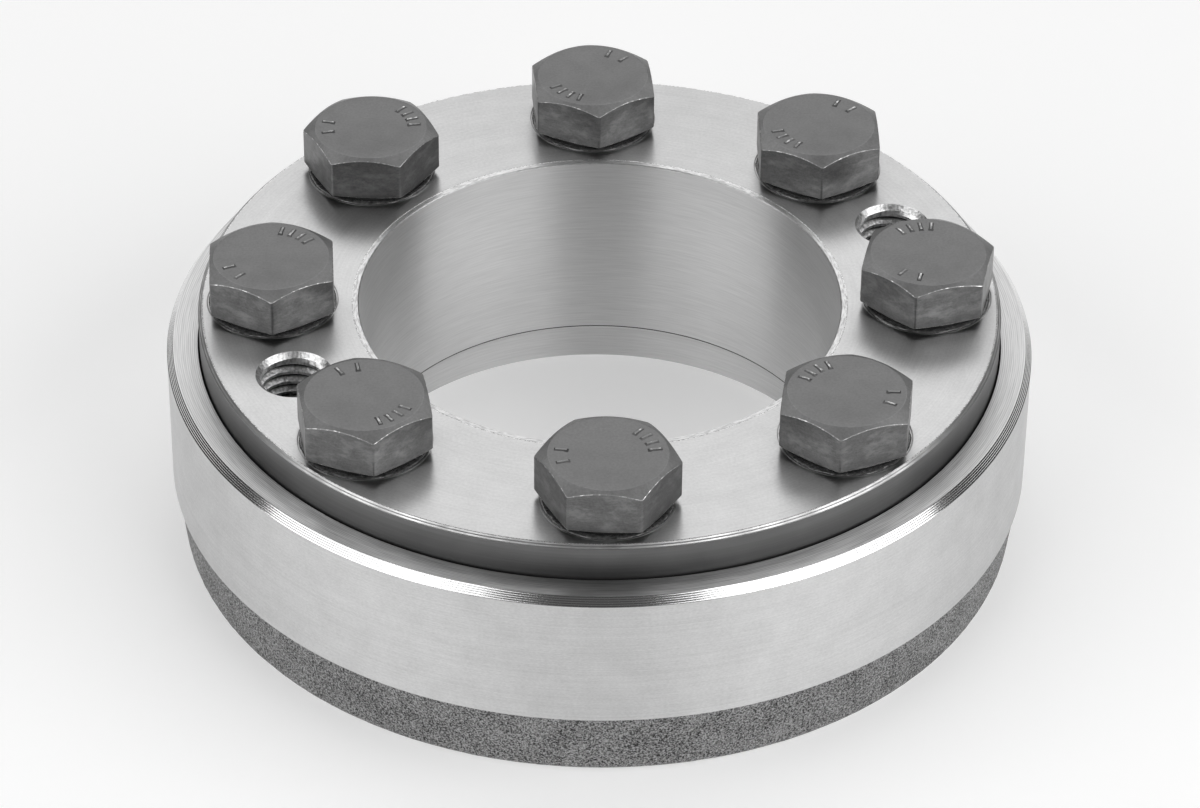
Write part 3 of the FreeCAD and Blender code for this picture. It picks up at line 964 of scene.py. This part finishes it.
def scalloped(start, end, scallops, finish, last):
    """Corners of a chamfer that a tool left as shallow scallops, up to the next finish."""
    count, depth = scallops
    start, end = Vector(start), Vector(end)
    inwards = Vector((start.y - end.y, end.x - start.x)).normalized()
    corners = []
    for step in range(count * SCALLOP_STEPS + 1):
        share = step % SCALLOP_STEPS / SCALLOP_STEPS
        sink = 4 * depth * share * (1 - share)
        place = start.lerp(end, step / (count * SCALLOP_STEPS)) + inwards * sink
        corners.append((place.x, place.y, 0, finish))
    corners[-1] = (*corners[-1][:3], last)
    return corners


def roughen(piece, belongs, depth, size):
    """Moves the points that belong to a rough stretch in or out by lumps of a depth and size."""
    for vertex in piece.data.vertices:
        place = vertex.co
        radius = math.hypot(place.x, place.y)
        if belongs(radius, place.z):
            shift = depth * noise.noise(place / size)
            place.x *= 1 + shift / radius
            place.y *= 1 + shift / radius


def outer_ring():
    """Turned band and lip, forged back edge, recess, conical bore and tapped holes."""
    recess = FLANGE_RADIUS + FLANGE_CLEARANCE
    raw_top = RING_RADIUS - BAND_STEP
    raw_foot = raw_top - RAW_HEIGHT * math.tan(RAW_DRAFT)
    mouth = RECESS_FLOOR - CONE_MOUTH_CHAMFER
    raw_side = []
    for row in range(1, RAW_ROWS):
        share = row / RAW_ROWS
        start = RAW_CORNER + share * (RAW_HEIGHT - RAW_CORNER)
        raw_side.append((raw_foot + start * math.tan(RAW_DRAFT), start, 0, forged_skin))
    corners = [
        (cone_radius(0) + CONE_BACK_CHAMFER, 0, CRISP_EDGE, turned_face),
        (raw_foot, 0, RAW_CORNER, forged_skin),
        *raw_side,
        (raw_top, RAW_HEIGHT, 0, turned_band),
        (RING_RADIUS, RAW_HEIGHT, SOFT_EDGE, turned_band),
        *scalloped((RING_RADIUS, RING_HEIGHT - LIP_CHAMFER[1]),
                   (RING_RADIUS - LIP_CHAMFER[0], RING_HEIGHT), LIP_SCALLOPS,
                   lip_chamfer, turned_lip),
        (recess, RING_HEIGHT, SOFT_EDGE, dull_wall),
        (recess, RECESS_FLOOR, RECESS_CORNER, turned_face),
        (cone_radius(mouth) + CONE_MOUTH_CHAMFER, RECESS_FLOOR, BLUNT_EDGE, turned_bore),
        (cone_radius(mouth), mouth, BLUNT_EDGE, turned_bore),
        (cone_radius(CONE_BACK_CHAMFER), CONE_BACK_CHAMFER, CRISP_EDGE, turned_bore),
    ]
    ring = turned("outer_ring", rounded(corners), OUTER_SEGMENTS, start=OFF_EDGE)

    def is_raw(radius, z):
        outside = radius > raw_foot - RAW_CORNER / 2
        return outside and RAW_MARGIN < z < RAW_HEIGHT - RAW_MARGIN

    roughen(ring, is_raw, RAW_RELIEF, RAW_LUMP)
    combine(ring, spread(tapped_hole(0.0, RECESS_FLOOR), bolt_places), "DIFFERENCE")
    return finished("outer_ring_turned", ring, "outer_ring", "outer_ring")


def inner_ring():
    """Flange and conical sleeve, bore, clearance holes and jacking threads."""
    back = FLANGE_TOP - FLANGE_THICKNESS
    tip = SLEEVE_END + SLEEVE_TIP_CHAMFER
    edge = FLANGE_RADIUS - FLANGE_CHAMFER
    mouth = BORE_RADIUS + BORE_CHAMFER
    burr = mouth + MOUTH_RING_WIDTH
    corners = [
        # The bore's lowest strip takes dull_wall, whose painted shade makes it a dark line for
        # the gap at the sleeve's end
        (BORE_RADIUS, SLEEVE_END + SLEEVE_END_CHAMFER + SLEEVE_SHADE_LINE, 0, dull_wall),
        (BORE_RADIUS, SLEEVE_END + SLEEVE_END_CHAMFER, CRISP_EDGE, turned_bore),
        (BORE_RADIUS + SLEEVE_END_CHAMFER, SLEEVE_END, CRISP_EDGE, turned_bore),
        (sleeve_radius(tip) - SLEEVE_TIP_CHAMFER, SLEEVE_END, CRISP_EDGE, turned_bore),
        (sleeve_radius(tip), tip, CRISP_EDGE, turned_bore),
        (sleeve_radius(back), back, SLEEVE_ROOT, turned_face),
        (FLANGE_RADIUS - FLANGE_BACK_CHAMFER, back, CRISP_EDGE, turned_face),
        (FLANGE_RADIUS, back + FLANGE_BACK_CHAMFER, CRISP_EDGE, dull_wall),
        *scalloped((FLANGE_RADIUS, FLANGE_TOP - FLANGE_CHAMFER), (edge, FLANGE_TOP - BURR_HEIGHT),
                   FLANGE_SCALLOPS, bright_edge, torn_burr),
        (edge - BURR_WIDTH / 2, FLANGE_TOP + BURR_HEIGHT, 0, torn_burr),
        (edge - BURR_WIDTH, FLANGE_TOP, 0, turned_face),
        (burr + BURR_WIDTH, FLANGE_TOP, 0, torn_burr),
        (burr + BURR_WIDTH / 2, FLANGE_TOP + BURR_HEIGHT, 0, torn_burr),
        *scalloped((burr, FLANGE_TOP), (mouth, FLANGE_TOP - MOUTH_RING_DEPTH), MOUTH_SCALLOPS,
                   scraped_mouth, scraped_mouth),
        (BORE_RADIUS, FLANGE_TOP - BORE_CHAMFER, BORE_EDGE, turned_bore),
    ]
    ring = turned("inner_ring", rounded(corners), INNER_SEGMENTS, start=OFF_EDGE)
    for middle in (edge, burr):
        roughen(ring, lambda radius, z: z > back and abs(radius - middle) < BURR_WIDTH,
                BURR_RAGGEDNESS, BURR_LUMP)

    rim = BOLT_HOLE_RADIUS + BOLT_HOLE_CHAMFER + CUTTER_ROOM
    low, high = back - CUTTER_ROOM, FLANGE_TOP + CUTTER_ROOM
    hole = [(0.0, low, 0, drilled_hole), (rim, low, 0, drilled_hole),
            (BOLT_HOLE_RADIUS, back + BOLT_HOLE_CHAMFER, 0, drilled_hole),
            (BOLT_HOLE_RADIUS, high, 0, drilled_hole), (0.0, high, 0, drilled_hole)]
    bolt_holes = spread(turned("hole", rounded(hole), HOLE_SEGMENTS), bolt_places)
    jacking_holes = spread(tapped_hole(back, FLANGE_TOP), jacking_places)
    combine(ring, gather([bolt_holes, jacking_holes]), "DIFFERENCE")
    gather([ring] + [seat_rim(place) for place in bolt_places])
    return finished("inner_ring_turned", ring, "inner_ring", "inner_ring")


def seat_rim(centre):
    """A low half-round rim on the flange round a bolt's seat, sunk where it is worn away."""
    half, foot = SEAT_RIM_WIDTH / 2, FLANGE_TOP - SEAT_RIM_HEIGHT
    profile = [(SEAT_RADIUS - half, foot, 0, bright_edge),
               (SEAT_RADIUS + half, foot, 0, bright_edge),
               (SEAT_RADIUS + half, FLANGE_TOP, 0, bright_edge)]
    for share in (0.5, 0.0, -0.5):
        rise = SEAT_RIM_HEIGHT * (1 - share * share)
        profile.append((SEAT_RADIUS + half * share, FLANGE_TOP + rise, 0, bright_edge))
    profile.append((SEAT_RADIUS - half, FLANGE_TOP, 0, bright_edge))
    rim = turned("seat_rim", rounded(profile), HOLE_SEGMENTS, centre)
    for vertex in rim.data.vertices:
        if vertex.co.z > foot:
            rise = noise.noise(vertex.co / SEAT_RIM_STRETCH) - SEAT_RIM_WORN
            vertex.co.z += SEAT_RIM_HEIGHT * rise
    return rim


def hexagon_prism(low, high):
    """Hexagonal prism with rounded upright edges and one of its corners on the X axis."""
    half, side = HEAD_ACROSS_FLATS / 2, 2 * math.pi / HEAD_SIDES
    centre_distance = (half - HEAD_CORNER) / math.cos(side / 2)
    rim = []
    for corner in range(HEAD_SIDES):
        middle = side * corner
        centre = Vector((math.cos(middle), math.sin(middle))) * centre_distance
        for step in range(HEAD_CORNER_STEPS + 1):
            angle = middle + side * (step / HEAD_CORNER_STEPS - 0.5)
            rim.append(centre + Vector((math.cos(angle), math.sin(angle))) * HEAD_CORNER)
    count = len(rim)
    points = [(*place, low) for place in rim] + [(*place, high) for place in rim]
    faces = [[index, (index + 1) % count, (index + 1) % count + count, index + count]
             for index in range(count)]
    faces += [list(range(count)), list(range(count, 2 * count))]
    return solid("hexagon", points, faces, [finish_index[black_flat]] * len(faces))


def bolt_head():
    """Hexagon head on the axis: flats, chamfers over and under them, dish and worn edges."""
    underside = FLANGE_TOP + BEARING_FACE_HEIGHT
    # The chamfers' cones run past the corners, which are 0.58 of the flats' distance away
    reach = 0.6 * HEAD_ACROSS_FLATS
    top = HEAD_TOP - MARK_HEIGHT
    dish_radius, dish_run, dish_depth = HEAD_DISH
    foot_rise = (reach - HEAD_FOOT_RADIUS) * math.tan(HEAD_FOOT_CHAMFER)
    top_drop = (reach - HEAD_TOP_RADIUS) * math.tan(HEAD_CHAMFER)
    cap = [
        (0.0, underside, 0, black_flat),
        (HEAD_FOOT_RADIUS, underside, 0, black_flat),
        (reach, underside + foot_rise, 0, black_flat),
        (reach, top - top_drop, 0, black_rim),
        (HEAD_TOP_RADIUS, top, HEAD_TOP_ROUNDING, black_top),
        (dish_radius + dish_run, top, 0, black_top),
        (dish_radius, top - dish_depth, 0, black_top),
        (0.0, top - dish_depth, 0, black_top),
    ]
    head = hexagon_prism(underside - CUTTER_ROOM, HEAD_TOP + CUTTER_ROOM)
    combine(head, turned("cap", rounded(cap), HOLE_SEGMENTS, start=OFF_EDGE), "INTERSECT")
    tidy(head, MERGE_IN_HEAD)
    bevel = head.modifiers.new("wear", "BEVEL")
    bevel.width = HEAD_WEAR
    bevel.segments = 2
    bevel.limit_method = "ANGLE"
    bevel.angle_limit = WORN_ABOVE
    bevel.material = finish_index[worn_edge]
    settle(head)
    tidy(head, MERGE_IN_HEAD)
    return head


def ridge(direction):
    """A forged radial ridge on a head's top, with sloping sides, sunk a little into it."""
    points = []
    slope = (MARK_WIDTH - MARK_TOP_WIDTH) / 2
    for level, width in ((HEAD_TOP - 2 * MARK_HEIGHT, MARK_WIDTH + 2 * slope),
                         (HEAD_TOP, MARK_TOP_WIDTH)):
        half, trim = width / 2, (MARK_WIDTH - width) / 2
        near, far = MARK_SPAN[0] + trim, MARK_SPAN[1] - trim
        points += [(near, -half, level), (far, -half, level), (far, half, level),
                   (near, half, level)]
    turn = Matrix.Rotation(math.radians(direction), 3, "Z")
    points = [turn @ Vector(point) for point in points]
    faces = [(0, 1, 2, 3), (4, 5, 6, 7), (0, 1, 5, 4), (1, 2, 6, 5), (2, 3, 7, 6), (3, 0, 4, 7)]
    indices = [finish_index[black_flat]] * len(faces)
    indices[1] = finish_index[worn_edge]
    return solid("ridge", points, faces, indices)


def bolt(number, head_mesh):
    """One clamping bolt: its head, the round bearing face and the threaded screw."""
    name, place = bolt_names[number - 1], bolt_places[number - 1]
    collar = [
        (0.0, FLANGE_TOP, 0, black_flat),
        (BEARING_FACE_RADIUS, FLANGE_TOP, SOFT_EDGE, black_flat),
        (BEARING_FACE_RADIUS, FLANGE_TOP + BEARING_FACE_HEIGHT + CUTTER_ROOM, 0, black_flat),
        (0.0, FLANGE_TOP + BEARING_FACE_HEIGHT + CUTTER_ROOM, 0, black_flat),
    ]
    piece = new_piece(name, head_mesh.copy())
    piece.data.transform(Matrix.Rotation(math.radians(HEAD_TURNS[number - 1]), 4, "Z"))
    groups = zip(MARK_PLACES[number - 1], MARK_GROUPS)
    ridges = [ridge(middle + angle) for middle, group in groups for angle in group]
    combine(piece, gather(ridges), "UNION")
    combine(piece, turned("collar", rounded(collar), HOLE_SEGMENTS), "UNION")
    screw = threaded_rod(THREAD_RADIUS - THREAD_CLEARANCE, BOLT_TIP,
                         FLANGE_TOP + CUTTER_ROOM / 2, TIP_RADIUS, black_thread)
    combine(piece, screw, "UNION")
    piece.data.transform(Matrix.Translation((place.x, place.y, 0.0)))
    return finished(f"{name}_black", piece, name, f"clamping_{name}")


def lay_floor():
    mesh = bpy.data.meshes.new("floor")
    corners = [(x * FLOOR_REACH, y * FLOOR_REACH, -FLOOR_DROP)
               for x, y in ((-1, -1), (1, -1), (1, 1), (-1, 1))]
    mesh.from_pydata(corners, [], [(0, 1, 2, 3)])
    mesh.materials.append(pale_floor())
    new_piece("floor", mesh)


def softbox(name, azimuth, elevation, distance, width, height, power):
    """A soft lamp that faces the disc."""
    lamp = bpy.data.lights.new(name, "AREA")
    lamp.shape = "RECTANGLE"
    lamp.size, lamp.size_y = width, height
    lamp.energy = power
    place = bpy.data.objects.new(name, lamp)
    bpy.context.scene.collection.objects.link(place)
    turn, lift = math.radians(azimuth), math.radians(elevation)
    direction = Vector((math.sin(turn) * math.cos(lift), -math.cos(turn) * math.cos(lift),
                        math.sin(lift)))
    place.location = direction * distance
    place.rotation_euler = direction.to_track_quat("Z", "Y").to_euler()


def light_studio():
    world = bpy.data.worlds.new("studio")
    world.use_nodes = True
    background = world.node_tree.nodes["Background"]
    background.inputs["Color"].default_value = (1, 1, 1, 1)
    background.inputs["Strength"].default_value = SKY_STRENGTH
    bpy.context.scene.world = world
    for name, lamp in LAMPS.items():
        softbox(name, *lamp)


def place_camera():
    camera = bpy.data.cameras.new("camera")
    camera.sensor_width = SENSOR
    camera.lens = FOCAL_PIXELS * SENSOR / PHOTO_WIDTH
    camera.clip_start, camera.clip_end = CAMERA_SEES
    stand = bpy.data.objects.new("camera", camera)
    bpy.context.scene.collection.objects.link(stand)
    turn = Matrix.Rotation(CAMERA_TURN, 4, "Z")
    tilt = Matrix.Rotation(math.pi / 2 - CAMERA_ELEVATION, 4, "X")
    roll = Matrix.Rotation(CAMERA_ROLL, 4, "Z")
    stand.matrix_world = turn @ Matrix.Translation(Vector(CAMERA_PLACE) * MM) @ tilt @ roll
    bpy.context.scene.camera = stand


place_camera()
light_studio()
lay_floor()
outer_ring()
inner_ring()
head = bolt_head()
for number in range(1, len(bolt_names) + 1):
    bolt(number, head.data)
bpy.data.objects.remove(head)
pressed_oil()
bpy.context.scene.view_settings.view_transform = "Standard"
